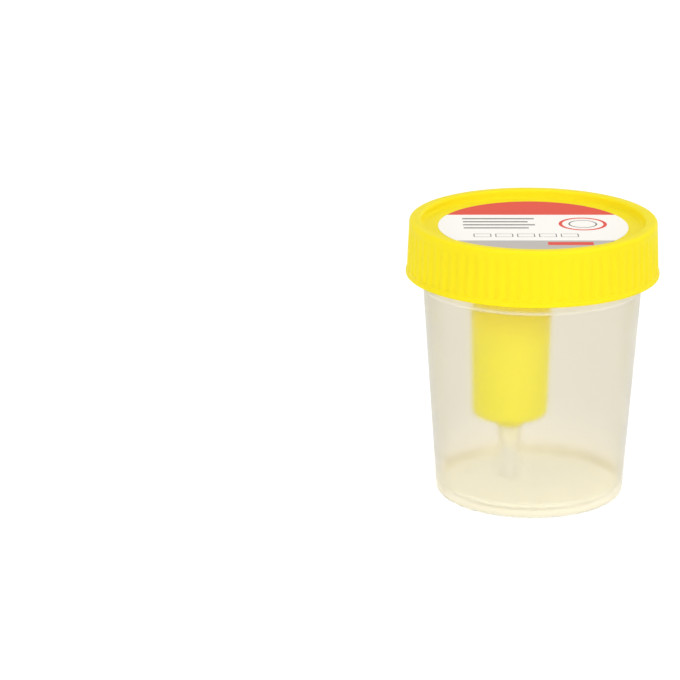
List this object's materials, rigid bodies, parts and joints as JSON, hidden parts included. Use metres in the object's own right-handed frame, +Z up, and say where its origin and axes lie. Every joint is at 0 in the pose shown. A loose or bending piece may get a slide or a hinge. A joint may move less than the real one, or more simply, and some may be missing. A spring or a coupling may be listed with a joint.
{
  "type": "specimen container",
  "caption": "Milky screw-capped specimen cup; its yellow cap carries an off-centre well with a sheathed needle and draw tube for filling vacuum tubes, under a round paper label.",
  "frame": {"origin": "centre of the cup's standing ring, on the table", "axes": "+Z up along the cup and its screw thread; the transfer well stands off the axis towards -X; +Y points away from the viewer"},
  "size_m": [0.0635, 0.0634, 0.0714],
  "materials": {
    "cup_polypropylene": "natural milky polypropylene, smooth moulded",
    "cap_polyethylene": "yellow polyethylene, satin moulded",
    "seal_foam": "white polyethylene foam",
    "label_paper": "white coated paper with printed fields of red and grey",
    "needle_steel": "drawn stainless steel tube",
    "sleeve_rubber": "grey synthetic rubber, moulded",
    "tube_polypropylene": "natural milky polypropylene, smooth moulded"
  },
  "bodies": {
    "cup": {"cup": "cup_polypropylene"},
    "seal": {"seal_ring": "seal_foam"},
    "cap": {"cap": "cap_polyethylene", "label": "label_paper", "needle": "needle_steel", "needle_sleeve": "sleeve_rubber", "draw_tube": "tube_polypropylene"}
  },
  "joints": [
    {"name": "cap_rise", "type": "slide", "parent": "cup", "child": "seal", "axis": [0, 0, 1], "range_m": [0, 0.0048]},
    {"name": "cap_turn", "type": "hinge", "parent": "seal", "child": "cap", "pos_m": [0, 0, 0.0693], "axis": [0, 0, 1], "range_deg": [0, 432]}
  ],
  "couplings": [
    {"joint": "cap_rise", "follows": "cap_turn", "m_per_rad": 0.00063662}
  ]
}
